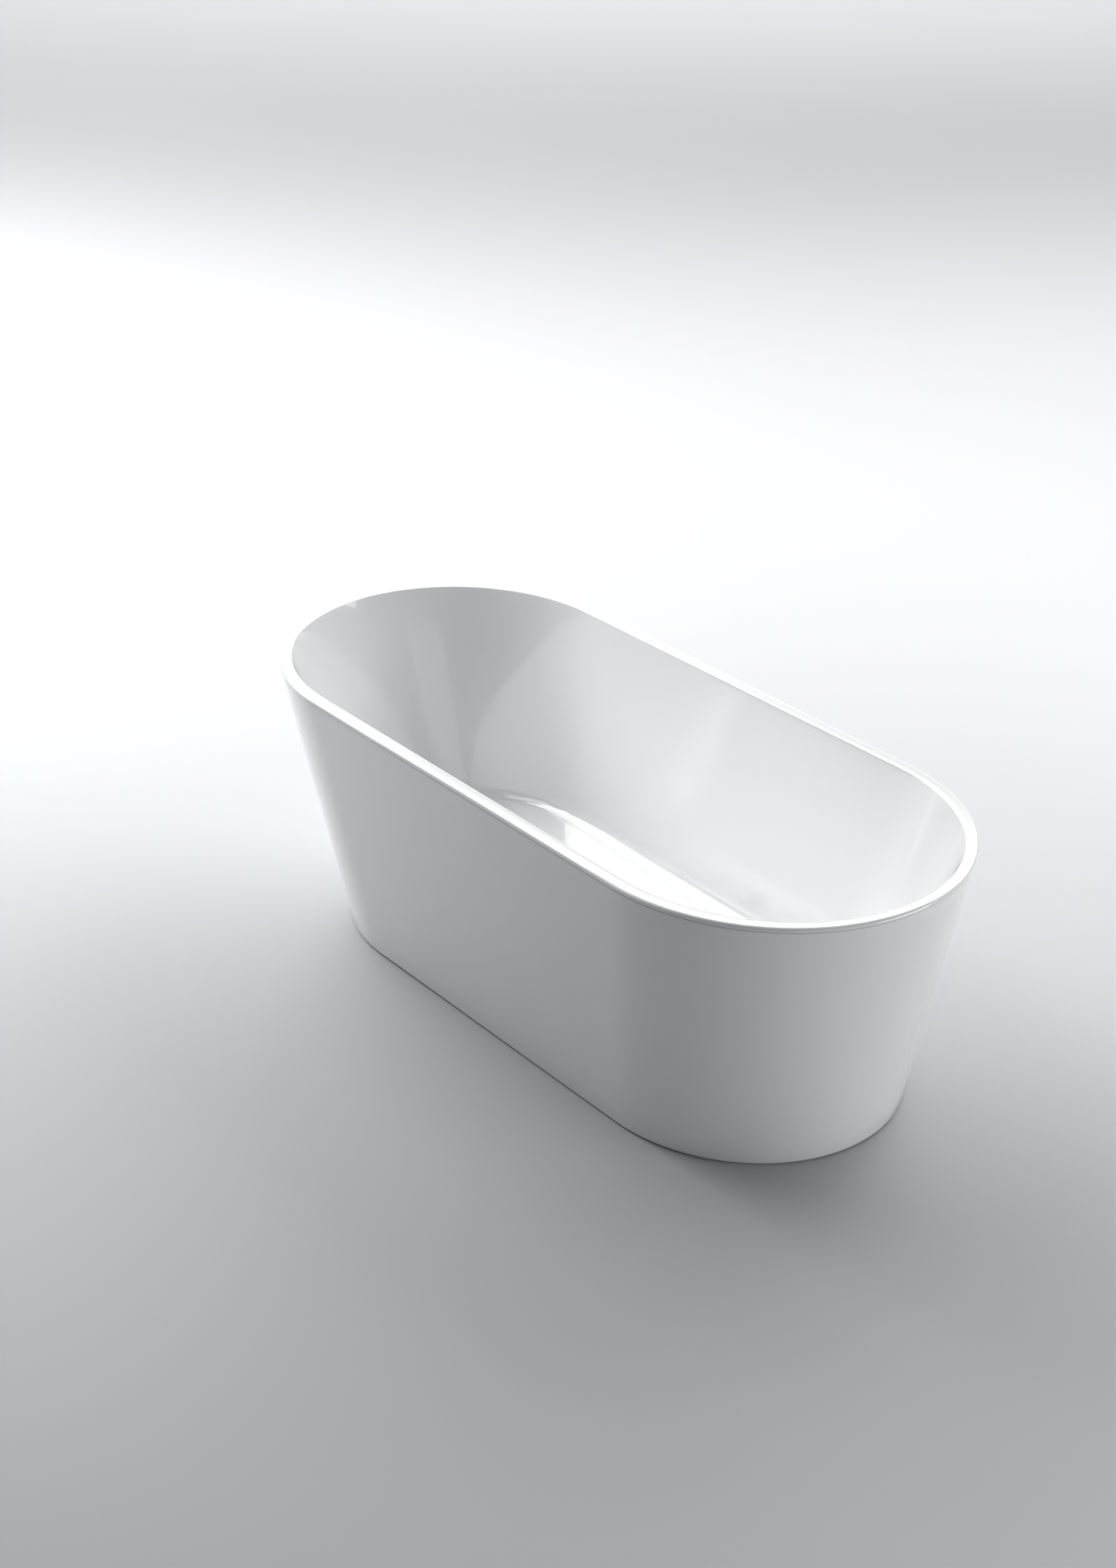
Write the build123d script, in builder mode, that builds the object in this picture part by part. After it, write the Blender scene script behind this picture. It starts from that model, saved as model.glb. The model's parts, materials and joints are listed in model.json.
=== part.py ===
from build123d import *
import math
import os

# Freestanding bathtub: an acrylic basin and apron, joined under the rim, on a steel frame with levelling
# feet, with a push-to-open waste and an overflow.
# Millimetres. +X runs along the tub from its head end to its foot end, +Z is up. The origin is on the
# floor under the middle of the rim. The overflow is on the front wall, which faces -Y.

# ---- Driving dimensions ----

# Rim
length = 1700.0
width = 750.0
height = 555.0
rim_cap = 386.0  # reach of each half-elliptical end, along X
rim_side = 29.0  # width of the rim's flat along the sides
rim_end = 21.0  # and at the ends
rim_outer_radius = 6.0
rim_inner_radius = 3.0
lip_height = 8.0
end_arcs = 4  # arcs that make up each half-elliptical end

# Sheet thicknesses
acrylic = 4.0
fibreglass = 3.0

# Basin floor, and how far each wall leans in from the rim to the floor
basin_floor = 130.0
basin_floor_cap = 250.0
basin_side_lean = 111.0
basin_head_lean = 209.0
basin_foot_lean = 169.0
basin_floor_radius = 32.0

# Apron: how far each wall leans in from the joint under the rim to the floor
apron_floor_cap = 326.0
apron_side_lean = 64.0
apron_head_lean = 191.0
apron_foot_lean = 100.0
apron_setback = 1.0  # behind the lip's face
apron_flange = 30.0
apron_foot_radius = 2.5
joint_gap = 1.5
floor_gap = 3.0

# Joint sealant and rim bond
sealant_setback = 2.2
sealant_depth = 2.4
bond_depth = 45.0

# Base board
board_thickness = 12.0
board_margin = 34.0  # from the foot of the basin wall to the board's edge

# Frame
rail_width = 40.0
rail_height = 20.0
rail_wall = 2.0
rail_inset = 71.0  # from the board's edge to a rail's middle
rail_overhang = 70.0  # past the outer cross tubes
cross_size = 25.0
cross_wall = 2.0
cross_head_inset = 318.0  # from the apron's foot at the head end to the first cross tube
cross_foot_inset = 349.0  # and at the foot end to the last one
cross_past_drain = 40.0  # the middle tube is half way from the first one to this far past the drain
cross_end_gap = 60.0  # from a cross tube's end to the apron
plug_plate = 2.5
plug_depth = 10.0
plug_clearance = 0.2

# Screws
screw_radius = 2.0
screw_head_radius = 4.2
screw_head = 2.4
rail_screw_bite = 9.0
rail_screw_offset = 40.0  # each side of a cross tube

# Apron brackets
bracket_width = 24.0
bracket_thickness = 3.0
bracket_lap = 24.0
bracket_screw_inset = 15.0  # from the cross tube's end

# Levelling feet
stud_radius = 6.0
stud_hole_clearance = 0.6
thread_clearance = 0.08
stud_chamfer = 1.0
stud_board_clearance = 2.0
foot_inset = 48.0  # from the cross tube's end to the stud
pad_radius = 24.0
pad_height = 12.0
pad_boss_radius = 12.0
pad_edge = 2.0
nut_flats = 18.0
nut_height = 9.5
foot_up = 8.0
foot_down = 15.0
stud_stop = 1.0  # left above the stud's top with the foot right up

# Waste
tail_radius = 23.5
tail_wall = 3.0
tail_drop = 48.0  # from the basin floor to the tail's lower end
drain_clearance = 1.5
flange_overlap = 10.0  # past the drain hole
flange_thickness = 4.0
flange_edge = 1.5
flange_seal = 2.0
flange_seal_setback = 2.0
gasket_thickness = 4.0
gasket_overlap = 9.0  # past the drain hole
locknut_wall = 8.5  # to the flats
locknut_height = 10.0
fit_clearance = 0.1
tee_wall = 5.5
tee_socket = 12.0
tee_drop = 94.0  # from the basin floor to the tee's lower end
tee_roof = 2.5  # above the pipe's socket
port_drop = 66.0  # from the basin floor to the overflow port's axis
pipe_radius = 20.0
pipe_wall = 2.0
pipe_end = 5.0
pipe_insert = 14.0
pipe_bead = 1.5
pipe_bead_height = 2.0
pipe_bead_gap = 1.0  # under the nut
socket_wall = 4.0
tail_nut_wall = 5.0
tail_nut_lip = 2.0
tail_nut_gap = 2.0
tail_washer_height = 4.0
grip_count = 12
grip_radius = 2.0

# Plug
plug_travel = 8.0
seat_ledge = 5.5  # from the tail's bore to the seat's edge
seat_depth = 2.5
seat_clearance = 0.3
cap_overlap = 5.0  # past the seat
cap_thickness = 4.0
cap_edge = 1.2
seal_clearance = 1.5
seal_width = 5.0
stem_radius = 4.0
stem_clearance = 0.05
stem_tail = 2.0  # below the cartridge
spring_wire = 0.6  # radius of the wire
spring_clearance = 0.7  # round the stem
spring_turns = 5.0
spring_gap = 0.1
chamber_clearance = 0.7  # round the spring
cartridge_wall = 1.4
cartridge_end = 5.0
cartridge_length = 33.0
cartridge_drop = 2.0  # of its lower end's inner face below the hub
shoulder_width = 2.0
shoulder_height = 2.0
hub_height = 6.0
hub_drop = 22.0
hub_wall = 3.0
spoke_width = 3.5
spoke_bite = 0.5  # into the tail's wall
collar_height = 2.5
collar_clearance = 0.3
collar_gap = 0.5

# Overflow
overflow_drop = 100.0
overflow_hole = 24.0
cover_overlap = 10.0  # past the hole
cover_depth = 12.0
cover_wall = 2.5
cover_edge = 1.5
cover_slot_width = 40.0
cover_slot_height = 6.0
cover_slot_setback = 2.0
overflow_gasket_thickness = 3.0
overflow_gasket_setback = 1.0
overflow_flange_overlap = 8.0
overflow_flange = 3.0
cup_wall = 2.5
cup_depth = 14.5
boss_wall = 3.0
cover_screw_radius = 2.5
cover_screw_head = 5.0
cover_screw_height = 2.0
cover_screw_edge = 1.0

# Overflow hose
nipple_radius = 9.5
nipple_wall = 2.0
nipple_depth = 21.0  # from the basin's face to the nipple's axis
nipple_length = 34.0
hose_wall = 2.9
hose_clearance = 0.1
hose_cup_gap = 10.5
hose_bend = 75.0
hose_tee_gap = 3.0
clamp_width = 8.0
clamp_thickness = 1.2
clamp_offset = 8.0

# ---- Sections: (lowest x, highest x, reach of the half-elliptical ends, half width) ----


def inset(section, distance):
    """The section moved in by a distance all round."""
    x_min, x_max, cap, half = section
    return (x_min + distance, x_max - distance, cap - distance, half - distance)


def at_height(low, low_z, high, high_z, z):
    """The section at height z on the straight walls between two sections."""
    share = (z - low_z) / (high_z - low_z)
    return tuple(a + (b - a) * share for a, b in zip(low, high))


joint_top = height - lip_height
joint_bottom = joint_top - joint_gap
rim_under = height - acrylic

rim = (-length / 2, length / 2, rim_cap, width / 2)
basin_rim = (rim[0] + rim_end, rim[1] - rim_end, rim_cap - rim_end, rim[3] - rim_side)
basin_base = (
    basin_rim[0] + basin_head_lean,
    basin_rim[1] - basin_foot_lean,
    basin_floor_cap,
    basin_rim[3] - basin_side_lean,
)
apron_top = inset(rim, apron_setback)
apron_base = (
    apron_top[0] + apron_head_lean,
    apron_top[1] - apron_foot_lean,
    apron_floor_cap,
    apron_top[3] - apron_side_lean,
)


def basin_section(z, growth=0.0):
    """The basin's inner face at height z, grown outwards."""
    return inset(at_height(basin_base, basin_floor, basin_rim, height, z), -growth)


def apron_section(z, depth=0.0):
    """The apron's outer face at height z, moved in by a depth."""
    return inset(at_height(apron_base, 0.0, apron_top, joint_bottom, z), depth)


def tapered(low, low_z, high, high_z):
    """A solid with straight walls between two sections."""
    with BuildPart() as body:
        for section, z in ((low, low_z), (high, high_z)):
            x_min, x_max, cap, half = section
            with BuildSketch(Plane.XY.offset(z)):
                with BuildLine():
                    Line((x_min + cap, -half), (x_max - cap, -half))
                    Line((x_min + cap, half), (x_max - cap, half))
                    for step in range(end_arcs):
                        turned = step * 180 / end_arcs
                        for centre, start in ((x_max - cap, -90), (x_min + cap, 90)):
                            EllipticalCenterArc(
                                (centre, 0), cap, half, start + turned, arc_size=180 / end_arcs
                            )
                make_face()
        loft(ruled=True)
    return body.part


def basin_volume(growth, top):
    """The hollow of the basin, grown outwards, from its rounded floor up to a height."""
    bottom = basin_floor - growth
    with BuildPart() as body:
        add(tapered(basin_section(bottom, growth), bottom, basin_section(top, growth), top))
        fillet(body.faces().sort_by(Axis.Z)[0].edges(), basin_floor_radius + growth)
    return body.part


def apron_volume(depth, bottom, top):
    """The space inside the apron's outer face, moved in by a depth, between two heights."""
    return tapered(apron_section(bottom, depth), bottom, apron_section(top, depth), top)


def write(body, name):
    """Names a finished piece and writes its file."""
    body.part.label = name
    export_step(body.part, f"parts/{name}.step")


os.makedirs("parts", exist_ok=True)

# ---- Heights and places that several pieces share ----

laminate = acrylic + fibreglass
board_top = basin_floor - laminate
board_bottom = board_top - board_thickness
rail_bottom = board_bottom - rail_height
cross_bottom = rail_bottom - cross_size
flange_top = floor_gap + acrylic
drain_radius = tail_radius + drain_clearance
nut_radius = nut_flats / math.sqrt(3)  # to the corners
stud_top = board_top - stud_stop - foot_up

# The overflow's plane lies on the basin's front wall: local x towards the head end, local y up the wall,
# and local z towards the bather.
overflow_z = height - overflow_drop
wall_lean = math.atan2(basin_side_lean, height - basin_floor)
overflow_plane = Plane(
    origin=(0, -basin_section(overflow_z)[3], overflow_z),
    x_dir=(-1, 0, 0),
    z_dir=(0, math.cos(wall_lean), math.sin(wall_lean)),
)
wall_back = -laminate * math.cos(wall_lean)

# ---- Tub body ----

basin_inside = basin_volume(0.0, height)
basin_back = basin_volume(acrylic, rim_under)
laminate_back = basin_volume(laminate, rim_under)

with BuildPart() as basin_shell:
    add(tapered(rim, joint_top, rim, height))
    add(tapered(inset(rim, acrylic), joint_top, inset(rim, acrylic), rim_under), mode=Mode.SUBTRACT)
    add(basin_back)
    add(basin_inside, mode=Mode.SUBTRACT)
    fillet(basin_shell.faces().sort_by(Axis.Z)[-1].outer_wire().edges(), rim_outer_radius)
    fillet(basin_shell.faces().sort_by(Axis.Z)[-1].inner_wires()[0].edges(), rim_inner_radius)
    with BuildSketch(Plane.XY.offset(board_top)):
        Circle(drain_radius)
    extrude(amount=laminate, mode=Mode.SUBTRACT)
    with BuildSketch(overflow_plane):
        Circle(overflow_hole)
    extrude(amount=acrylic, both=True, mode=Mode.SUBTRACT)
write(basin_shell, "basin_shell")

with BuildPart() as basin_reinforcement:
    add(laminate_back)
    add(basin_back, mode=Mode.SUBTRACT)
    with BuildSketch(Plane.XY.offset(board_top)):
        Circle(drain_radius)
    extrude(amount=laminate, mode=Mode.SUBTRACT)
    with BuildSketch(overflow_plane):
        Circle(overflow_hole)
    extrude(amount=2 * wall_back, mode=Mode.SUBTRACT)
write(basin_reinforcement, "basin_reinforcement")

with BuildPart() as apron_shell:
    add(apron_volume(0.0, floor_gap, joint_bottom))
    add(apron_volume(acrylic, flange_top, joint_bottom), mode=Mode.SUBTRACT)
    add(apron_volume(apron_flange, floor_gap, flange_top), mode=Mode.SUBTRACT)
    fillet(apron_shell.faces().sort_by(Axis.Z)[0].outer_wire().edges(), apron_foot_radius)
write(apron_shell, "apron_shell")

with BuildPart() as apron_reinforcement:
    add(apron_volume(acrylic, flange_top, joint_bottom))
    add(apron_volume(laminate, flange_top, joint_bottom), mode=Mode.SUBTRACT)
write(apron_reinforcement, "apron_reinforcement")

with BuildPart() as rim_bond_ring:
    add(apron_volume(laminate, rim_under - bond_depth, rim_under))
    add(laminate_back, mode=Mode.SUBTRACT)
write(rim_bond_ring, "rim_bond_ring")

sealant_outer = inset(rim, sealant_setback)
sealant_inner = inset(sealant_outer, sealant_depth)
with BuildPart() as rim_joint_sealant:
    add(tapered(sealant_outer, joint_bottom, sealant_outer, joint_top))
    add(tapered(sealant_inner, joint_bottom, sealant_inner, joint_top), mode=Mode.SUBTRACT)
write(rim_joint_sealant, "rim_joint_sealant")

# ---- Base board, with holes for the waste, the rail screws and any stud that rises into it ----

board_section = inset(basin_section(basin_floor), board_margin)
rail_y = board_section[3] - rail_inset
cross_head_x = apron_base[0] + cross_head_inset
cross_middle_x = (cross_head_x + cross_past_drain) / 2
cross_foot_x = apron_base[1] - cross_foot_inset
rail_low_x = cross_head_x - rail_overhang
rail_high_x = cross_foot_x + rail_overhang
screw_tip = board_bottom + rail_screw_bite
rail_screw_places = [
    (cross_x + offset, side * rail_y)
    for cross_x in (cross_head_x, cross_middle_x, cross_foot_x)
    for offset in (-rail_screw_offset, rail_screw_offset)
    for side in (-1, 1)
]

# Each cross tube ends short of the apron's straight sides.
cross_reach = apron_section(cross_bottom)[3] - cross_end_gap
foot_y = cross_reach - foot_inset
crosses = {
    "cross_tube_head": (cross_head_x, (-foot_y, foot_y)),
    "cross_tube_middle": (cross_middle_x, (0.0,)),
    "cross_tube_foot": (cross_foot_x, (-foot_y, foot_y)),
}
feet = [(x, y) for x, places in crosses.values() for y in places]

with BuildPart() as base_board:
    add(tapered(board_section, board_bottom, board_section, board_top))
    with BuildSketch(Plane.XY.offset(board_bottom)):
        Circle(drain_radius)
    extrude(amount=board_thickness, mode=Mode.SUBTRACT)
    with BuildSketch(Plane.XY.offset(board_bottom)):
        with Locations(rail_screw_places):
            Circle(screw_radius)
    extrude(amount=rail_screw_bite, mode=Mode.SUBTRACT)
    with BuildSketch(Plane.XY.offset(board_bottom)):
        with Locations(feet):
            Circle(stud_radius + stud_board_clearance)
    extrude(amount=board_thickness, mode=Mode.SUBTRACT)
write(base_board, "base_board")

# ---- Frame ----


def box_tube(plane, reach, size_x, size_y, wall):
    """A rectangular tube along the plane's normal."""
    with BuildPart() as body:
        with BuildSketch(plane):
            Rectangle(size_x, size_y)
            Rectangle(size_x - 2 * wall, size_y - 2 * wall, mode=Mode.SUBTRACT)
        extrude(amount=reach)
    return body.part


def end_plug(plane, size_x, size_y, wall):
    """A plastic plug in a tube's end. The plane's normal points out of the tube."""
    inner_x = size_x - 2 * wall - 2 * plug_clearance
    inner_y = size_y - 2 * wall - 2 * plug_clearance
    with BuildPart() as body:
        with BuildSketch(plane):
            Rectangle(size_x, size_y)
        extrude(amount=plug_plate)
        with BuildSketch(plane):
            Rectangle(inner_x, inner_y)
        extrude(amount=-plug_depth)
    return body.part


rail_mid_z = rail_bottom + rail_height / 2
plugs = []
for name, y in (("frame_rail_front", -rail_y), ("frame_rail_rear", rail_y)):
    low_end = Plane(origin=(rail_low_x, y, rail_mid_z), x_dir=(0, 1, 0), z_dir=(1, 0, 0))
    high_end = Plane(origin=(rail_high_x, y, rail_mid_z), x_dir=(0, 1, 0), z_dir=(1, 0, 0))
    with BuildPart() as rail:
        add(box_tube(low_end, rail_high_x - rail_low_x, rail_width, rail_height, rail_wall))
        with BuildSketch(Plane.XY.offset(rail_bottom)):
            with Locations(rail_screw_places):
                Circle(screw_radius)
        extrude(amount=rail_height, mode=Mode.SUBTRACT)
    write(rail, name)
    out_of_low_end = Plane(origin=low_end.origin, x_dir=(0, 1, 0), z_dir=(-1, 0, 0))
    plugs.append(end_plug(out_of_low_end, rail_width, rail_height, rail_wall))
    plugs.append(end_plug(high_end, rail_width, rail_height, rail_wall))

cross_mid_z = cross_bottom + cross_size / 2
bracket_y = cross_reach - bracket_screw_inset
for name, (x, places) in crosses.items():
    start = Plane(origin=(x, -cross_reach, cross_mid_z), x_dir=(-1, 0, 0), z_dir=(0, 1, 0))
    with BuildPart() as cross_tube:
        add(box_tube(start, 2 * cross_reach, cross_size, cross_size, cross_wall))
        with BuildSketch(Plane.XY.offset(cross_bottom)):
            with Locations([(x, y) for y in places]):
                Circle(stud_radius + stud_hole_clearance)
        extrude(amount=cross_size, mode=Mode.SUBTRACT)
        if len(places) == 2:
            with BuildSketch(Plane.XY.offset(cross_bottom)):
                with Locations((x, -bracket_y), (x, bracket_y)):
                    Circle(screw_radius)
            extrude(amount=2 * cross_wall, mode=Mode.SUBTRACT)
    write(cross_tube, name)
    for side in (-1, 1):
        end = Plane(origin=(x, side * cross_reach, cross_mid_z), x_dir=(1, 0, 0), z_dir=(0, side, 0))
        plugs.append(end_plug(end, cross_size, cross_size, cross_wall))

with BuildPart() as tube_end_plugs:
    add(plugs)
write(tube_end_plugs, "tube_end_plugs")

# Screws from under the rails, through both walls of each, into the board
with BuildPart() as rail_screws:
    with BuildSketch(Plane.XY.offset(rail_bottom)):
        with Locations(rail_screw_places):
            Circle(screw_radius)
    extrude(amount=screw_tip - rail_bottom)
    with BuildSketch(Plane.XY.offset(rail_bottom)):
        with Locations(rail_screw_places):
            Circle(screw_head_radius)
    extrude(amount=-screw_head)
write(rail_screws, "rail_screws")

# ---- Apron brackets, from under the outer cross tubes down to the apron's flange ----

bracket_top = cross_bottom
step_y = apron_section(flange_top)[3] - apron_flange  # the flange's inner edge
foot_leg_y = apron_section(flange_top, laminate)[3] - bracket_thickness
flange_screw_y = (step_y + bracket_thickness + foot_leg_y) / 2
corners = [
    ("head_front", cross_head_x, -1),
    ("head_rear", cross_head_x, 1),
    ("foot_front", cross_foot_x, -1),
    ("foot_rear", cross_foot_x, 1),
]
for corner, x, side in corners:
    side_on = Plane(origin=(x - bracket_width / 2, 0, 0), x_dir=(0, side, 0), z_dir=(1, 0, 0))
    lift = 1 if side_on.y_dir.Z > 0 else -1
    profile = [
        (cross_reach - bracket_lap, bracket_top),
        (step_y + bracket_thickness, bracket_top),
        (step_y + bracket_thickness, flange_top + bracket_thickness),
        (foot_leg_y, flange_top + bracket_thickness),
        (foot_leg_y, flange_top),
        (step_y, flange_top),
        (step_y, bracket_top - bracket_thickness),
        (cross_reach - bracket_lap, bracket_top - bracket_thickness),
    ]
    with BuildPart() as bracket:
        with BuildSketch(side_on):
            with BuildLine():
                Polyline(*[(y, lift * z) for y, z in profile], close=True)
            make_face()
        extrude(amount=bracket_width)
        with BuildSketch(Plane.XY.offset(bracket_top - bracket_thickness)):
            with Locations((x, side * bracket_y)):
                Circle(screw_radius)
        extrude(amount=bracket_thickness, mode=Mode.SUBTRACT)
        with BuildSketch(Plane.XY.offset(flange_top)):
            with Locations((x, side * flange_screw_y)):
                Circle(screw_radius)
        extrude(amount=bracket_thickness, mode=Mode.SUBTRACT)
    write(bracket, f"apron_bracket_{corner}")

# Screws up into the cross tubes, and down into the apron's flange
tube_screw_places = [(x, side * bracket_y) for _, x, side in corners]
flange_screw_places = [(x, side * flange_screw_y) for _, x, side in corners]
bracket_under = bracket_top - bracket_thickness
flange_leg_top = flange_top + bracket_thickness
with BuildPart() as bracket_screws:
    with BuildSketch(Plane.XY.offset(bracket_under)):
        with Locations(tube_screw_places):
            Circle(screw_radius)
    extrude(amount=bracket_thickness + 2 * cross_wall)
    with BuildSketch(Plane.XY.offset(bracket_under)):
        with Locations(tube_screw_places):
            Circle(screw_head_radius)
    extrude(amount=-screw_head)
    with BuildSketch(Plane.XY.offset(flange_leg_top)):
        with Locations(flange_screw_places):
            Circle(screw_radius)
    extrude(amount=-bracket_thickness)
    with BuildSketch(Plane.XY.offset(flange_leg_top)):
        with Locations(flange_screw_places):
            Circle(screw_head_radius)
    extrude(amount=screw_head)
write(bracket_screws, "bracket_screws")

# ---- Levelling feet ----

# Each foot's stud rises through a nut under its cross tube and one above it.
for number, place in enumerate(feet, 1):
    with BuildPart() as foot_stud:
        with BuildSketch(Plane.XY.offset(pad_height / 2)):
            with Locations(place):
                Circle(stud_radius)
        extrude(amount=stud_top - pad_height / 2)
        chamfer(foot_stud.faces().sort_by(Axis.Z)[-1].edges(), stud_chamfer)
    write(foot_stud, f"foot_stud_{number}")

    with BuildPart() as foot_pad:
        with BuildSketch():
            with Locations(place):
                Circle(pad_radius)
        extrude(amount=pad_height / 2)
        with BuildSketch(Plane.XY.offset(pad_height / 2)):
            with Locations(place):
                Circle(pad_boss_radius)
        extrude(amount=pad_height / 2)
        fillet(foot_pad.edges().filter_by(GeomType.CIRCLE).sort_by(Axis.Z)[1], pad_edge)
        with BuildSketch(Plane.XY.offset(pad_height / 2)):
            with Locations(place):
                Circle(stud_radius)
        extrude(amount=pad_height / 2, mode=Mode.SUBTRACT)
    write(foot_pad, f"foot_pad_{number}")

# The upper nuts are thin enough to stay on the studs when the feet are right down.
for name, bottom, top in (
    ("foot_upper_nuts", rail_bottom, stud_top - foot_down),
    ("foot_lower_nuts", cross_bottom - nut_height, cross_bottom),
):
    with BuildPart() as nuts:
        with BuildSketch(Plane.XY.offset(bottom)):
            with Locations(feet):
                RegularPolygon(nut_radius, 6)
                Circle(stud_radius + thread_clearance, mode=Mode.SUBTRACT)
        extrude(amount=top - bottom)
    write(nuts, name)

# ---- Waste ----


def ring(plane, low, high, outer, inner=0.0):
    """A disc or ring about the plane's normal, between two offsets from the plane."""
    with BuildPart() as body:
        with BuildSketch(plane.offset(low)):
            Circle(outer)
            if inner:
                Circle(inner, mode=Mode.SUBTRACT)
        extrude(amount=high - low)
    return body.part


tail_bore = tail_radius - tail_wall
tail_hole = tail_radius + fit_clearance
flange_radius = drain_radius + flange_overlap
seal_top = basin_floor + flange_seal
flange_face = seal_top + flange_thickness
tail_bottom = basin_floor - tail_drop
gasket_bottom = board_bottom - gasket_thickness
locknut_bottom = gasket_bottom - locknut_height
locknut_radius = (tail_radius + locknut_wall) * 2 / math.sqrt(3)  # to the corners
tee_radius = tail_radius + tee_wall
tee_top = tail_bottom + tee_socket
tee_floor = basin_floor - tee_drop
port_z = basin_floor - port_drop
nipple_bore = nipple_radius - nipple_wall
seat_radius = tail_bore + seat_ledge
pipe_top = tee_floor + pipe_insert
hub_top = basin_floor - hub_drop
hub_bottom = hub_top - hub_height

# The plug's stem, inside its spring, inside the cartridge
spring_radius = stem_radius + spring_clearance + spring_wire
chamber_radius = spring_radius + spring_wire + chamber_clearance
cartridge_radius = chamber_radius + cartridge_wall

with BuildPart() as waste_flange:
    add(ring(Plane.XY, seal_top, flange_face, flange_radius))
    add(ring(Plane.XY, tail_bottom, seal_top, tail_radius))
    fillet(waste_flange.faces().sort_by(Axis.Z)[-1].edges(), flange_edge)
    add(ring(Plane.XY, tail_bottom, flange_face, tail_bore), mode=Mode.SUBTRACT)
    add(ring(Plane.XY, flange_face - seat_depth, flange_face, seat_radius), mode=Mode.SUBTRACT)
    # Cross that carries the click cartridge
    with BuildSketch(Plane.XY.offset(hub_bottom)):
        Rectangle(2 * (tail_bore + spoke_bite), spoke_width)
        Rectangle(spoke_width, 2 * (tail_bore + spoke_bite))
        Circle(cartridge_radius + hub_wall)
        Circle(cartridge_radius, mode=Mode.SUBTRACT)
    extrude(amount=hub_height)
write(waste_flange, "waste_flange")

with BuildPart() as waste_flange_seal:
    add(ring(Plane.XY, basin_floor, seal_top, flange_radius - flange_seal_setback, tail_hole))
write(waste_flange_seal, "waste_flange_seal")

with BuildPart() as waste_lower_gasket:
    add(ring(Plane.XY, gasket_bottom, board_bottom, drain_radius + gasket_overlap, tail_hole))
write(waste_lower_gasket, "waste_lower_gasket")

with BuildPart() as waste_locknut:
    with BuildSketch(Plane.XY.offset(locknut_bottom)):
        RegularPolygon(locknut_radius, 6)
        Circle(tail_hole, mode=Mode.SUBTRACT)
    extrude(amount=locknut_height)
write(waste_locknut, "waste_locknut")

# The tee takes the flange's tail above, the overflow hose at the front, and the tail pipe below.
port_plane = Plane(origin=(0, 0, port_z), x_dir=(1, 0, 0), z_dir=(0, -1, 0))
pipe_hole = pipe_radius + fit_clearance
socket_radius = pipe_radius + socket_wall
tee_step = pipe_top + tee_roof
tee_nipple_end = tee_radius + hose_tee_gap + nipple_length / 2
with BuildPart() as waste_tee:
    add(ring(Plane.XY, tee_step, tee_top, tee_radius))
    add(ring(Plane.XY, tee_floor, tee_step, socket_radius))
    add(ring(port_plane, 0.0, tee_nipple_end, nipple_radius))
    add(ring(Plane.XY, tail_bottom, tee_top, tail_hole), mode=Mode.SUBTRACT)
    add(ring(Plane.XY, pipe_top, tail_bottom, pipe_radius), mode=Mode.SUBTRACT)
    add(ring(Plane.XY, tee_floor, pipe_top, pipe_hole), mode=Mode.SUBTRACT)
    add(ring(port_plane, 0.0, tee_nipple_end, nipple_bore), mode=Mode.SUBTRACT)
write(waste_tee, "waste_tee")

washer_bottom = tee_floor - tail_washer_height
with BuildPart() as tail_washer:
    add(ring(Plane.XY, washer_bottom, tee_floor, socket_radius, pipe_hole))
write(tail_washer, "tail_washer")

tail_nut_radius = socket_radius + tail_nut_wall
nut_bottom = washer_bottom - tail_nut_lip
nut_top = tee_step - tail_nut_gap
with BuildPart() as tail_nut:
    with BuildSketch(Plane.XY.offset(nut_bottom)):
        Circle(tail_nut_radius)
        with PolarLocations(tail_nut_radius, grip_count):
            Circle(grip_radius, mode=Mode.SUBTRACT)
    extrude(amount=nut_top - nut_bottom)
    add(ring(Plane.XY, nut_bottom, nut_top, pipe_hole), mode=Mode.SUBTRACT)
    add(ring(Plane.XY, washer_bottom, nut_top, socket_radius + fit_clearance), mode=Mode.SUBTRACT)
write(tail_nut, "tail_nut")

# The bead stops the pipe that is pushed on from below.
bead_top = nut_bottom - pipe_bead_gap
with BuildPart() as waste_tail_pipe:
    add(ring(Plane.XY, pipe_end, pipe_top, pipe_radius))
    add(ring(Plane.XY, bead_top - pipe_bead_height, bead_top, pipe_radius + pipe_bead))
    add(ring(Plane.XY, pipe_end, pipe_top, pipe_radius - pipe_wall), mode=Mode.SUBTRACT)
write(waste_tail_pipe, "waste_tail_pipe")

# ---- Plug, open ----

cap_bottom = flange_face + seat_clearance + plug_travel
seal_bottom = cap_bottom - seat_depth
seal_radius = seat_radius - seal_clearance
cartridge_bottom = hub_bottom - cartridge_drop - cartridge_end
cartridge_top = cartridge_bottom + cartridge_length
chamber_bottom = cartridge_bottom + cartridge_end
chamber_top = cartridge_top - cartridge_end
collar_top = chamber_top - collar_gap
collar_bottom = collar_top - collar_height
stem_bottom = cartridge_bottom - stem_tail
stem_hole = stem_radius + stem_clearance

with BuildPart() as plug_cap:
    add(ring(Plane.XY, cap_bottom, cap_bottom + cap_thickness, seat_radius + cap_overlap))
    fillet(plug_cap.faces().sort_by(Axis.Z)[-1].edges(), cap_edge)
write(plug_cap, "plug_cap")

with BuildPart() as plug_seal:
    add(ring(Plane.XY, seal_bottom, cap_bottom, seal_radius, seal_radius - seal_width))
write(plug_seal, "plug_seal")

with BuildPart() as plug_stem:
    add(ring(Plane.XY, stem_bottom, cap_bottom, stem_radius))
    add(ring(Plane.XY, collar_bottom, collar_top, chamber_radius - collar_clearance))
write(plug_stem, "plug_stem")

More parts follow.
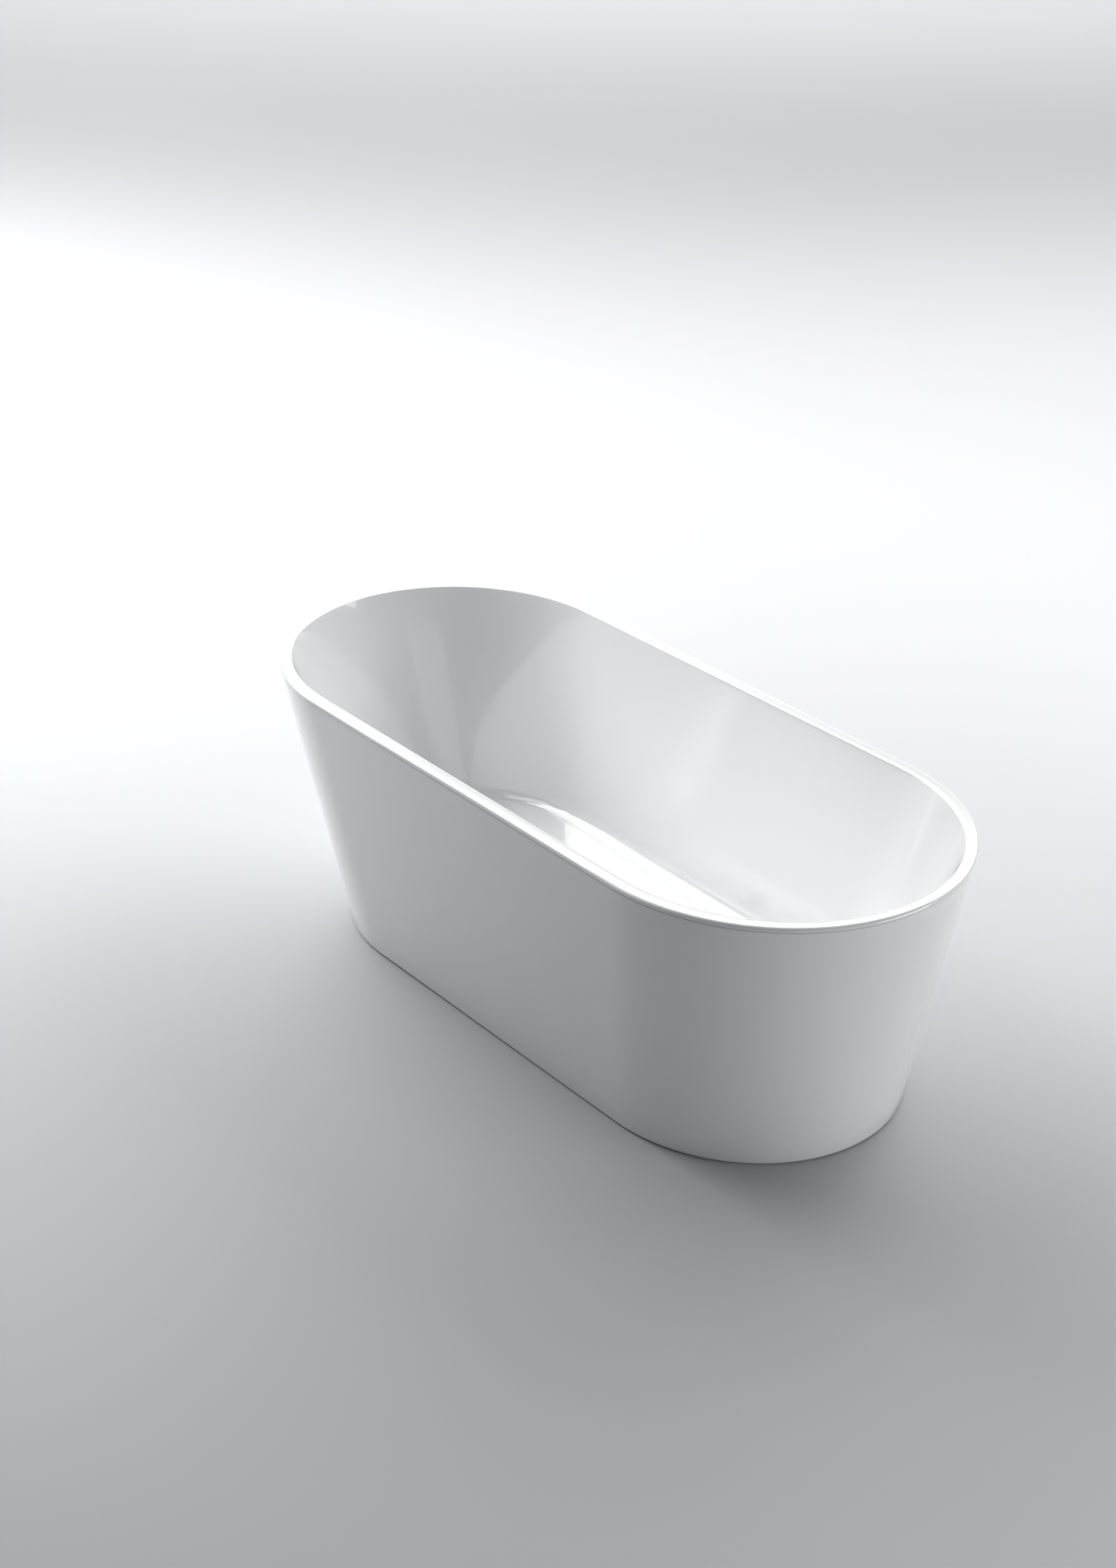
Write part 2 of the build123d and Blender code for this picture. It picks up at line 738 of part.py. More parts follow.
with BuildPart() as click_cartridge:
    add(ring(Plane.XY, cartridge_bottom, cartridge_top, cartridge_radius))
    add(ring(Plane.XY, hub_top, hub_top + shoulder_height, cartridge_radius + shoulder_width))
    add(ring(Plane.XY, chamber_bottom, chamber_top, chamber_radius), mode=Mode.SUBTRACT)
    add(ring(Plane.XY, cartridge_bottom, cartridge_top, stem_hole), mode=Mode.SUBTRACT)
write(click_cartridge, "click_cartridge")

spring_low = chamber_bottom + spring_wire + spring_gap
spring_height = collar_bottom - spring_wire - spring_gap - spring_low
with BuildPart() as plug_spring:
    with BuildLine() as coil:
        Helix(spring_height / spring_turns, spring_height, spring_radius, center=(0, 0, spring_low))
    with BuildSketch(Plane(origin=coil.line @ 0, z_dir=coil.line % 0)):
        Circle(spring_wire)
    sweep()
write(plug_spring, "plug_spring")

# ---- Overflow ----

gasket_back = wall_back - overflow_gasket_thickness
body_front = gasket_back - overflow_flange
body_back = body_front - cup_depth
axis_down = Plane(
    origin=overflow_plane.from_local_coords((0, 0, -nipple_depth)),
    x_dir=(1, 0, 0),
    z_dir=-overflow_plane.y_dir,
)
cup_radius = overflow_hole
cover_radius = overflow_hole + cover_overlap
overflow_flange_radius = overflow_hole + overflow_flange_overlap
nipple_end = cup_radius + nipple_length
screw_end = body_back + cup_wall

with BuildPart() as overflow_gasket:
    gasket_edge = overflow_flange_radius - overflow_gasket_setback
    add(ring(overflow_plane, gasket_back, wall_back, gasket_edge, overflow_hole))
write(overflow_gasket, "overflow_gasket")

with BuildPart() as overflow_body:
    add(ring(overflow_plane, body_front, gasket_back, overflow_flange_radius))
    add(ring(overflow_plane, body_back, body_front, cup_radius))
    add(ring(axis_down, 0.0, nipple_end, nipple_radius))
    cup_bore = cup_radius - cup_wall
    add(ring(overflow_plane, body_back + cup_wall, gasket_back, cup_bore), mode=Mode.SUBTRACT)
    add(ring(axis_down, 0.0, nipple_end, nipple_bore), mode=Mode.SUBTRACT)
    add(ring(overflow_plane, body_back, gasket_back, cover_screw_radius + boss_wall))
    add(ring(overflow_plane, screw_end, gasket_back, cover_screw_radius), mode=Mode.SUBTRACT)
write(overflow_body, "overflow_body")

with BuildPart() as overflow_cover:
    add(ring(overflow_plane, 0.0, cover_depth, cover_radius))
    fillet(overflow_cover.edges().filter_by(GeomType.CIRCLE).sort_by(Axis.Y)[-1], cover_edge)
    cover_bore = cover_radius - cover_wall
    add(ring(overflow_plane, 0.0, cover_depth - cover_wall, cover_bore), mode=Mode.SUBTRACT)
    add(ring(overflow_plane, 0.0, cover_depth, cover_screw_radius + fit_clearance), mode=Mode.SUBTRACT)
    with BuildSketch(overflow_plane.offset(cover_slot_setback)):
        with Locations((0, -cover_radius)):
            Rectangle(cover_slot_width, 2 * cover_slot_height)
    extrude(amount=cover_slot_height, mode=Mode.SUBTRACT)
write(overflow_cover, "overflow_cover")

with BuildPart() as overflow_screw:
    add(ring(overflow_plane, screw_end, cover_depth, cover_screw_radius))
    add(ring(overflow_plane, cover_depth, cover_depth + cover_screw_height, cover_screw_head))
    fillet(overflow_screw.faces().sort_by(Axis.Y)[-1].edges(), cover_screw_edge)
write(overflow_screw, "overflow_screw")

# ---- Overflow hose, down behind the wall, then under the frame to the tee ----

hose_bore = nipple_radius + hose_clearance
hose_radius = hose_bore + hose_wall
hose_start = cup_radius + hose_cup_gap
hose_top = axis_down.from_local_coords((0, 0, hose_start))
down = -overflow_plane.y_dir
hose_corner = hose_top + down * ((port_z - hose_top.Z) / down.Z)
hose_bottom = port_plane.from_local_coords((0, 0, tee_radius + hose_tee_gap))
with BuildPart() as overflow_hose:
    with BuildLine() as route:
        FilletPolyline(hose_top, hose_corner, hose_bottom, radius=hose_bend)
    with BuildSketch(Plane(origin=hose_top, x_dir=(1, 0, 0), z_dir=down)):
        Circle(hose_radius)
        Circle(hose_bore, mode=Mode.SUBTRACT)
    sweep()
write(overflow_hose, "overflow_hose")

hose_area = math.pi * (hose_radius**2 - hose_bore**2)
hose_length = sum(edge.length for edge in route.edges())
print("hose volume over area times length:", overflow_hose.part.volume / (hose_area * hose_length))

clamp_inner = hose_radius + fit_clearance
clamp_outer = clamp_inner + clamp_thickness
clamp_top = hose_start + clamp_offset
clamp_tee = tee_radius + hose_tee_gap + clamp_offset
with BuildPart() as hose_clamps:
    add(ring(axis_down, clamp_top, clamp_top + clamp_width, clamp_outer, clamp_inner))
    add(ring(port_plane, clamp_tee, clamp_tee + clamp_width, clamp_outer, clamp_inner))
write(hose_clamps, "hose_clamps")
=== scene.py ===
import json
import math
import bmesh
import bpy
from mathutils import Matrix, Vector


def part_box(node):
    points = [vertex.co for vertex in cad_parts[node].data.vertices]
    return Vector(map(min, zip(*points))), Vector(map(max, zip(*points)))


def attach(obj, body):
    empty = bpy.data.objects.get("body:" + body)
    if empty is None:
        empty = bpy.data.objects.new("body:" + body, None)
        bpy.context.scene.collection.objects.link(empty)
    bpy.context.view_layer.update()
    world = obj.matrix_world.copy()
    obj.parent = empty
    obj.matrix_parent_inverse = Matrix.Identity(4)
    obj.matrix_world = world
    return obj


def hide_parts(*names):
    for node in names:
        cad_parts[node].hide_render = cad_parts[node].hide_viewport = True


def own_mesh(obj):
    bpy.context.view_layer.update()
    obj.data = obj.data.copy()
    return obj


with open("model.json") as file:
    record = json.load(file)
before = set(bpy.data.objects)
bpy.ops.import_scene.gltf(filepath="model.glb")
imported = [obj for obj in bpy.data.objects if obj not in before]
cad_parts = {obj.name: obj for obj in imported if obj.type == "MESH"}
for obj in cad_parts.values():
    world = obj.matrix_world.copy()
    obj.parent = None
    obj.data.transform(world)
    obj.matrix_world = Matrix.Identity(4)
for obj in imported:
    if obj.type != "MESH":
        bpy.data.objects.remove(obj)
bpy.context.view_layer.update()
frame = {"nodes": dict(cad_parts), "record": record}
NODES = frame["nodes"]
SLOT_OF = {row["node"]: row["material_slot"] for row in frame["record"]["subparts"]}
MM = 0.001


# ---- Camera ----

SENSOR = 36.0
CAMERA_AZIMUTH = 50.668
CAMERA_ELEVATION = 27.463
CAMERA_ROLL = 0.853
CAMERA_PLACE = Vector((3.2323, -2.7635, 2.6487))
CAMERA_LENS = 55.783
# Directions as the camera sees them: away and right along the floor, and straight up
TURN = math.radians(CAMERA_AZIMUTH)
AWAY = Vector((-math.sin(TURN), math.cos(TURN), 0.0))
RIGHT = Vector((math.cos(TURN), math.sin(TURN), 0.0))
UP = Vector((0.0, 0.0, 1.0))


def link(name, data):
    """A new object in the scene."""
    thing = bpy.data.objects.new(name, data)
    bpy.context.scene.collection.objects.link(thing)
    return thing


def make_camera():
    """The camera, turned by its azimuth, elevation and roll."""
    rise = math.radians(CAMERA_ELEVATION)
    back = UP * math.sin(rise) - AWAY * math.cos(rise)
    roll = Matrix.Rotation(math.radians(CAMERA_ROLL), 3, back)
    axes = Matrix((roll @ RIGHT, roll @ back.cross(RIGHT), back)).transposed()
    camera = link("camera", bpy.data.cameras.new("camera"))
    camera.matrix_world = Matrix.Translation(CAMERA_PLACE) @ axes.to_4x4()
    camera.data.sensor_width = SENSOR
    camera.data.lens = CAMERA_LENS
    camera.data.clip_end = 100.0
    bpy.context.scene.camera = camera


# ---- Materials ----


class Finish:
    """A procedural material built up node by node, in the object's own metres."""

    def __init__(self, name, roughness, metallic=0.0, coat=0.0):
        self.material = bpy.data.materials.new(name)
        self.material.use_nodes = True
        self.nodes = self.material.node_tree.nodes
        self.links = self.material.node_tree.links
        self.shader = self.nodes["Principled BSDF"]
        self.shader.inputs["Roughness"].default_value = roughness
        self.shader.inputs["Metallic"].default_value = metallic
        self.shader.inputs["Coat Weight"].default_value = coat
        self.shader.inputs["Coat Roughness"].default_value = 0.02
        self.place = self.nodes.new("ShaderNodeTexCoord")

    def stretched(self, stretch):
        """The object's coordinates, scaled by a factor along each axis."""
        mapping = self.nodes.new("ShaderNodeMapping")
        mapping.inputs["Scale"].default_value = stretch
        self.links.new(self.place.outputs["Object"], mapping.inputs["Vector"])
        return mapping.outputs["Vector"]

    def noise(self, scale, detail=3.0, stretch=None, roughness=0.5):
        """A cloudy texture, finer as its scale rises."""
        texture = self.nodes.new("ShaderNodeTexNoise")
        texture.inputs["Scale"].default_value = scale
        texture.inputs["Detail"].default_value = detail
        texture.inputs["Roughness"].default_value = roughness
        source = self.stretched(stretch) if stretch else self.place.outputs["Object"]
        self.links.new(source, texture.inputs["Vector"])
        return texture.outputs["Fac"]

    def cells(self, scale, stretch=None):
        """A texture of cells, finer as its scale rises."""
        texture = self.nodes.new("ShaderNodeTexVoronoi")
        texture.inputs["Scale"].default_value = scale
        source = self.stretched(stretch) if stretch else self.place.outputs["Object"]
        self.links.new(source, texture.inputs["Vector"])
        return texture.outputs["Distance"]

    def colour(self, source, low, high, start=0.3, end=0.7):
        """The base colour goes from low to high with a texture."""
        ramp = self.nodes.new("ShaderNodeValToRGB")
        ramp.color_ramp.elements[0].position = start
        ramp.color_ramp.elements[1].position = end
        ramp.color_ramp.elements[0].color = (*low, 1.0)
        ramp.color_ramp.elements[1].color = (*high, 1.0)
        self.links.new(source, ramp.inputs["Fac"])
        self.links.new(ramp.outputs["Color"], self.shader.inputs["Base Color"])

    def gloss(self, source, low, high):
        """The roughness goes from low to high with a texture."""
        spread = self.nodes.new("ShaderNodeMapRange")
        spread.inputs["To Min"].default_value = low
        spread.inputs["To Max"].default_value = high
        self.links.new(source, spread.inputs["Value"])
        self.links.new(spread.outputs["Result"], self.shader.inputs["Roughness"])

    def relief(self, source, depth):
        """Surface relief of a depth in metres."""
        bump = self.nodes.new("ShaderNodeBump")
        bump.inputs["Strength"].default_value = 1.0
        bump.inputs["Distance"].default_value = depth
        self.links.new(source, bump.inputs["Height"])
        self.links.new(bump.outputs["Normal"], self.shader.inputs["Normal"])


def make_materials():
    """A material for each of the record's slots."""
    made = {}

    # Gel-smooth acrylic: a hint of tone change and polishing haze over hands' breadths
    acrylic = Finish("white_acrylic", 0.16, coat=1.0)
    acrylic.colour(acrylic.noise(2.2), (0.855, 0.862, 0.865), (0.872, 0.878, 0.880))
    acrylic.gloss(acrylic.noise(5.0, detail=5.0), 0.12, 0.20)
    made["white_acrylic"] = acrylic

    # Sprayed glass fibre: chopped strands under uneven resin
    fibre = Finish("glass_fibre", 0.6)
    strands = fibre.noise(260.0, detail=6.0, stretch=(1.0, 0.25, 1.0), roughness=0.7)
    fibre.colour(strands, (0.60, 0.58, 0.48), (0.80, 0.79, 0.72))
    fibre.gloss(fibre.noise(25.0), 0.35, 0.75)
    fibre.relief(fibre.noise(140.0, detail=5.0), 0.0012)
    made["glass_fibre"] = fibre

    # Bonding paste, set rough as it squeezed out
    filler = Finish("bond_filler", 0.75)
    filler.colour(filler.noise(60.0, detail=5.0), (0.52, 0.50, 0.43), (0.68, 0.66, 0.59))
    filler.relief(filler.noise(220.0, detail=4.0), 0.0006)
    made["bond_filler"] = filler

    # Grey silicone, tooled smooth
    sealant = Finish("joint_sealant", 0.4)
    sealant.colour(sealant.noise(90.0), (0.36, 0.37, 0.375), (0.42, 0.43, 0.435))
    sealant.relief(sealant.noise(400.0), 0.00008)
    made["joint_sealant"] = sealant

    # Chipboard: flattened chips seen on the faces
    board = Finish("base_board", 0.75)
    chips = board.cells(150.0, stretch=(1.0, 0.45, 2.0))
    board.colour(chips, (0.36, 0.24, 0.13), (0.66, 0.50, 0.32), start=0.05, end=0.6)
    board.relief(board.noise(500.0, detail=4.0), 0.0003)
    made["base_board"] = board

    # Powder coat on the tube
    frame_steel = Finish("frame_steel", 0.45)
    frame_steel.colour(frame_steel.noise(120.0), (0.105, 0.11, 0.115), (0.135, 0.14, 0.145))
    frame_steel.relief(frame_steel.noise(1400.0, detail=2.0), 0.00012)
    made["frame_steel"] = frame_steel

    # Zinc plate: spangle and light scuffs
    zinc = Finish("zinc_steel", 0.32, metallic=1.0)
    zinc.colour(zinc.cells(140.0), (0.56, 0.57, 0.57), (0.74, 0.745, 0.75), start=0.0, end=0.8)
    zinc.gloss(zinc.noise(300.0, detail=6.0), 0.22, 0.48)
    made["zinc_steel"] = zinc

    # Moulded plastics: fine spark grain
    black = Finish("black_plastic", 0.45)
    black.colour(black.noise(200.0), (0.018, 0.018, 0.019), (0.030, 0.030, 0.031))
    black.relief(black.noise(2200.0, detail=2.0), 0.00004)
    made["black_plastic"] = black

    white = Finish("white_plastic", 0.35)
    white.colour(white.noise(80.0), (0.70, 0.70, 0.685), (0.77, 0.77, 0.755))
    white.relief(white.noise(1800.0, detail=2.0), 0.00003)
    made["white_plastic"] = white

    # Polished plate with faint wiping marks in its gloss
    chrome = Finish("chrome", 0.06, metallic=1.0)
    chrome.colour(chrome.noise(40.0), (0.80, 0.81, 0.82), (0.86, 0.865, 0.87))
    chrome.gloss(chrome.noise(160.0, detail=6.0), 0.03, 0.11)
    made["chrome"] = chrome

    # Matt rubber with a fine moulded grain
    rubber = Finish("black_rubber", 0.7)
    rubber.colour(rubber.noise(150.0), (0.012, 0.012, 0.012), (0.028, 0.028, 0.028))
    rubber.relief(rubber.noise(900.0), 0.00008)
    made["black_rubber"] = rubber

    # Brass: its gloss varies in streaks along the z axis
    brass = Finish("brass", 0.3, metallic=1.0)
    brass.colour(brass.noise(120.0), (0.62, 0.44, 0.18), (0.72, 0.55, 0.27))
    brass.gloss(brass.noise(500.0, detail=5.0, stretch=(1.0, 1.0, 0.1)), 0.2, 0.4)
    made["brass"] = brass
    return {slot: finish.material for slot, finish in made.items()}


MATERIALS = make_materials()


def finish_nodes():
    """Every carried-over CAD node takes the material of its slot."""
    for name, node in NODES.items():
        node.data.materials.clear()
        node.data.materials.append(MATERIALS[SLOT_OF[name]])


# ---- Meshes ----

SHARP_ANGLE = math.radians(40.0)


def join_rows(build, rows):
    """Faces between each row of points and the next, where every row is closed."""
    for row, other in zip(rows, rows[1:]):
        for index in range(len(row)):
            following = (index + 1) % len(row)
            build.faces.new((row[index], row[following], other[following], other[index]))


def mesh_object(name, build):
    """An object that holds the built mesh."""
    mesh = bpy.data.meshes.new(name)
    build.to_mesh(mesh)
    build.free()
    return link(name, mesh)


def smooth(mesh):
    """Smooth shading, with an edge kept sharp where faces turn by more than the sharp angle."""
    mesh.shade_smooth()
    mesh.set_sharp_from_angle(angle=SHARP_ANGLE)


# ---- Smooth shells ----

# Sections are stadiums with half-elliptical ends: lowest and highest x, reach of each end along x, half the
# width. All sizes are in millimetres.
BASIN_LOW, BASIN_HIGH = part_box("basin_shell")
HEIGHT = BASIN_HIGH.z / MM
RIM_CAP = 386.0  # reach of the rim's ends
RIM_END = 21.0
RIM_SIDE = 29.0
RIM_OUTER_RADIUS = 6.0
RIM_INNER_RADIUS = 3.0
LIP_HEIGHT = 8.0
LIP_EDGE = 0.8
SHELL = 4.0
FLOOR_Z = 130.0
FLOOR_RADIUS = 32.0
BASIN_FLOOR_CAP = 250.0  # reach of the floor's ends
BASIN_HEAD_END_RUN = 209.0  # how far each wall comes in from the top to the floor
BASIN_FOOT_END_RUN = 169.0
BASIN_SIDE_RUN = 111.0
DRAIN_RADIUS = 25.0
DRAIN_EDGE = 0.8
JOINT_GAP = 1.5
JOINT_INSET = 1.0
APRON_FOOT_RADIUS = 2.5
APRON_FLANGE = 30.0
APRON_FLANGE_TOP = 7.0
APRON_FOOT_Z = 3.0
APRON_BASE_CAP = 326.0  # reach of the base's ends
APRON_HEAD_END_RUN = 191.0  # how far each wall comes in from the top to the base
APRON_FOOT_END_RUN = 100.0
APRON_SIDE_RUN = 64.0
OVERFLOW_Z = 455.0
OVERFLOW_RADIUS = 24.0

RIM = (BASIN_LOW.x / MM, BASIN_HIGH.x / MM, RIM_CAP, BASIN_HIGH.y / MM)
BASIN_TOP = (RIM[0] + RIM_END, RIM[1] - RIM_END, RIM_CAP - RIM_END, RIM[3] - RIM_SIDE)
BASIN_BASE = (
    BASIN_TOP[0] + BASIN_HEAD_END_RUN,
    BASIN_TOP[1] - BASIN_FOOT_END_RUN,
    BASIN_FLOOR_CAP,
    BASIN_TOP[3] - BASIN_SIDE_RUN,
)
APRON_HEIGHT = HEIGHT - LIP_HEIGHT - JOINT_GAP
APRON_TOP = (RIM[0] + JOINT_INSET, RIM[1] - JOINT_INSET, RIM_CAP - JOINT_INSET, RIM[3] - JOINT_INSET)
APRON_BASE = (
    APRON_TOP[0] + APRON_HEAD_END_RUN,
    APRON_TOP[1] - APRON_FOOT_END_RUN,
    APRON_BASE_CAP,
    APRON_TOP[3] - APRON_SIDE_RUN,
)

# How finely the shells are divided: round each end and along each side
END_STEPS = 112
SIDE_STEPS = 40
# and up their sections
EDGE_STEPS = 4
APRON_FOOT_STEPS = 5
APRON_WALL_STEPS = 16
APRON_BACK_STEPS = 8
RIM_OUTER_STEPS = 10
RIM_INNER_STEPS = 6
BASIN_WALL_STEPS = 14
BASIN_CORNER_STEPS = 16
BASIN_BACK_CORNER_STEPS = 10
BASIN_FLOOR_STEPS = 10
BASIN_BACK_FLOOR_STEPS = 6
# Past the rounding of the apron's foot: the next ring in, and where the even steps up the wall count from
FOOT_RING_INSET = 8.0
WALL_STEPS_START = 2.0
# The round tool that cuts the overflow's hole
OVERFLOW_CUT_SIDES = 96
OVERFLOW_CUT_DEPTH = 30.0


def round_steps():
    """Places round a section: how far towards the foot end, and the cosine and sine on its half ellipse."""
    steps = []
    for end, start in ((1.0, -90.0), (0.0, 90.0)):
        for k in range(END_STEPS):
            angle = math.radians(start + 180.0 * k / END_STEPS)
            steps.append((end, math.cos(angle), math.sin(angle)))
        side = 1.0 if end else -1.0
        for k in range(SIDE_STEPS):
            share = k / SIDE_STEPS
            steps.append((end - share * side, 0.0, side))
    return steps


STEPS = round_steps()


def inset(section, distance):
    """A section drawn in on every side."""
    x_min, x_max, cap, half = section
    return (x_min + distance, x_max - distance, cap - distance, half - distance)


def between(low, low_z, high, high_z, z):
    """The section at height z of a wall that is straight from one section to another."""
    share = (z - low_z) / (high_z - low_z)
    return tuple(a + (b - a) * share for a, b in zip(low, high))


def basin_section(z, growth=0.0):
    """The basin's wall at height z, grown outward from its inner face."""
    return inset(between(BASIN_BASE, FLOOR_Z, BASIN_TOP, HEIGHT, z), -growth)


def apron_section(z, depth=0.0):
    """The apron's wall at height z, drawn in from its outer face."""
    return inset(between(APRON_BASE, 0.0, APRON_TOP, APRON_HEIGHT, z), depth)


def ring(section, z):
    """The section's outline at height z."""
    x_min, x_max, cap, half = section
    run = x_max - x_min - 2.0 * cap
    return [Vector((x_min + cap + run * end + cap * c, half * s, z)) for end, c, s in STEPS]


def outward(corner, index):
    """The level direction out of a ring at one of its points."""
    following, before = corner[(index + 1) % len(corner)], corner[index - 1]
    along = following - before
    return Vector((along.y, -along.x, 0.0)).normalized()


def rounded_corner(corner, wall, radius, steps, level):
    """Rings that round the corner between a level face and a wall.

    The wall runs from the corner's ring to the wall's ring. level is 1 where the level face lies outside the
    corner, and -1 where it lies inside. The rings go from the level face to the wall.
    """
    profiles = []
    for index, point in enumerate(corner):
        up_wall = (wall[index] - point).normalized()
        flat = Vector((up_wall.x, up_wall.y, 0.0)).normalized()
        normal = outward(corner, index)
        # An upright wall has no level part
        if flat.length < 0.5:
            flat = normal.copy()
        if flat.dot(normal) < 0.0:
            flat = -flat
        # The wall's fall line, seen square to the corner
        steep = Vector((0.0, up_wall.dot(normal), up_wall.z)).normalized()
        opening = math.acos(max(-1.0, min(1.0, level * steep.y)))
        reach = radius / math.tan(opening / 2.0) / max(0.5, abs(flat.dot(normal)))
        start = point + flat * level * reach
        end = point + up_wall * reach
        weight = math.sin(opening / 2.0)
        profile = []
        for k in range(steps + 1):
            t = k / steps
            a, b, c = (1 - t) ** 2, 2 * t * (1 - t) * weight, t ** 2
            profile.append((start * a + point * b + end * c) / (a + b + c))
        profiles.append(profile)
    return [[profile[k] for profile in profiles] for k in range(steps + 1)]


def circle(radius, z):
    """A circle about the drain, with a point for each place round a section."""
    floor = ring(BASIN_BASE, 0.0)
    points = []
    for point in floor:
        direction = point.normalized()
        points.append(Vector((direction.x * radius, direction.y * radius, z)))
    return points


def blended(first, last, steps):
    """The rings that divide the way between two rings, leaving both out."""
    return [[a.lerp(b, k / steps) for a, b in zip(first, last)] for k in range(1, steps)]


def quarter_round(steps):
    """The sine, and one less the cosine, through a quarter turn: the shape of a rounded edge."""
    angles = [math.radians(90.0 * k / steps) for k in range(steps + 1)]
    return [(math.sin(angle), 1.0 - math.cos(angle)) for angle in angles]


def mesh_of_rings(name, rings):
    """A closed surface through rings, the last joined to the first."""
    build = bmesh.new()
    rows = [[build.verts.new(point * MM) for point in points] for points in rings]
    join_rows(build, rows + rows[:1])
    bmesh.ops.recalc_face_normals(build, faces=build.faces)
    return mesh_object(name, build)


def make_apron():
    """The outer shell: its turned-in foot, its outer face, its top edge, then its inner face."""
    top = APRON_HEIGHT
    foot, edge = APRON_FOOT_RADIUS, LIP_EDGE
    rings = [ring(apron_section(APRON_FOOT_Z, APRON_FLANGE), APRON_FOOT_Z)]
    rings.append(ring(apron_section(APRON_FOOT_Z, foot + FOOT_RING_INSET), APRON_FOOT_Z))
    corner = ring(apron_section(APRON_FOOT_Z), APRON_FOOT_Z)
    rings += rounded_corner(corner, ring(apron_section(top), top), foot, APRON_FOOT_STEPS, -1)
    start = APRON_FOOT_Z + foot + WALL_STEPS_START
    for k in range(1, APRON_WALL_STEPS):
        z = start + (top - edge - start) * k / APRON_WALL_STEPS
        rings.append(ring(apron_section(z), z))
    for rise, run in quarter_round(EDGE_STEPS):
        z = top - edge + edge * rise
        rings.append(ring(apron_section(z, edge * run), z))
    rings.append(ring(apron_section(top, SHELL), top))
    for k in range(1, APRON_BACK_STEPS + 1):
        z = top + (APRON_FLANGE_TOP - top) * k / APRON_BACK_STEPS
        rings.append(ring(apron_section(z, SHELL), z))
    rings.append(ring(apron_section(APRON_FLANGE_TOP, APRON_FLANGE), APRON_FLANGE_TOP))
    return mesh_of_rings("tub_apron", rings)


def basin_walls(growth, top, corner_steps):
    """Rings up one face of the basin's wall, from the level floor to the top."""
    floor_z = FLOOR_Z - growth
    corner = ring(basin_section(floor_z, growth), floor_z)
    wall = ring(basin_section(top, growth), top)
    rings = rounded_corner(corner, wall, FLOOR_RADIUS + growth, corner_steps, -1)
    return rings + blended(rings[-1], wall, BASIN_WALL_STEPS) + [wall]


def make_basin():
    """The inner shell: its lip, its rim, its inner face down to the drain, then its outer face."""
    lip = HEIGHT - LIP_HEIGHT
    under = HEIGHT - SHELL
    edge, outer = LIP_EDGE, RIM_OUTER_RADIUS
    rings = [ring(inset(RIM, SHELL), lip)]
    for rise, run in quarter_round(EDGE_STEPS):
        rings.append(ring(inset(RIM, edge * (1.0 - rise)), lip + edge * run))
    for rise, run in quarter_round(RIM_OUTER_STEPS):
        rings.append(ring(inset(RIM, outer * run), HEIGHT - outer + outer * rise))
    inside = basin_walls(0.0, HEIGHT, BASIN_CORNER_STEPS)
    rim_round = rounded_corner(inside[-1], inside[-2], RIM_INNER_RADIUS, RIM_INNER_STEPS, 1)
    rings += blended(rings[-1], rim_round[0], 2) + rim_round
    rings += list(reversed(inside[:-1]))
    hole = circle(DRAIN_RADIUS + DRAIN_EDGE, FLOOR_Z)
    rings += blended(inside[0], hole, BASIN_FLOOR_STEPS) + [hole]
    rings.append(circle(DRAIN_RADIUS, FLOOR_Z - DRAIN_EDGE))
    rings.append(circle(DRAIN_RADIUS, FLOOR_Z - SHELL))
    outside = basin_walls(SHELL, under, BASIN_BACK_CORNER_STEPS)
    rings += blended(rings[-1], outside[0], BASIN_BACK_FLOOR_STEPS) + outside
    rings.append(ring(inset(RIM, SHELL), under))
    return mesh_of_rings("tub_basin", rings)


def cut_overflow(basin):
    """Cuts the overflow's round hole, square to the front wall."""
    half = basin_section(OVERFLOW_Z)[3]
    slope = (BASIN_TOP[3] - BASIN_BASE[3]) / (HEIGHT - FLOOR_Z)
    normal = Vector((0.0, 1.0, slope)).normalized()
    build = bmesh.new()
    bmesh.ops.create_cone(
        build,
        cap_ends=True,
        segments=OVERFLOW_CUT_SIDES,
        radius1=OVERFLOW_RADIUS * MM,
        radius2=OVERFLOW_RADIUS * MM,
        depth=OVERFLOW_CUT_DEPTH * MM,
    )
    cutter = mesh_object("overflow_cut", build)
    turned = normal.to_track_quat("Z", "Y").to_matrix().to_4x4()
    cutter.matrix_world = Matrix.Translation(Vector((0.0, -half, OVERFLOW_Z)) * MM) @ turned
    bpy.context.view_layer.update()
    hole = basin.modifiers.new("overflow", "BOOLEAN")
    hole.operation = "DIFFERENCE"
    hole.solver = "EXACT"
    hole.object = cutter
    cut = bpy.data.meshes.new_from_object(basin.evaluated_get(bpy.context.evaluated_depsgraph_get()))
    basin.modifiers.clear()
    basin.data = cut
    bpy.data.objects.remove(cutter)


def finish_shell(shell, node):
    """The shell stands for its CAD node, in white acrylic."""
    smooth(shell.data)
    shell.data.materials.clear()
    shell.data.materials.append(MATERIALS["white_acrylic"])
    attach(shell, "tub")
    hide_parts(node)


# ---- Plug spring ----

# Lengths are in metres
SPRING_WIRE = 0.6 * MM  # radius of the wire
SPRING_TURNS = 6.5
SPRING_END_TURNS = 1.0  # closed at each end
SPRING_END_PITCH = 1.25 * MM
STEPS_PER_TURN = 32
WIRE_SIDES = 14


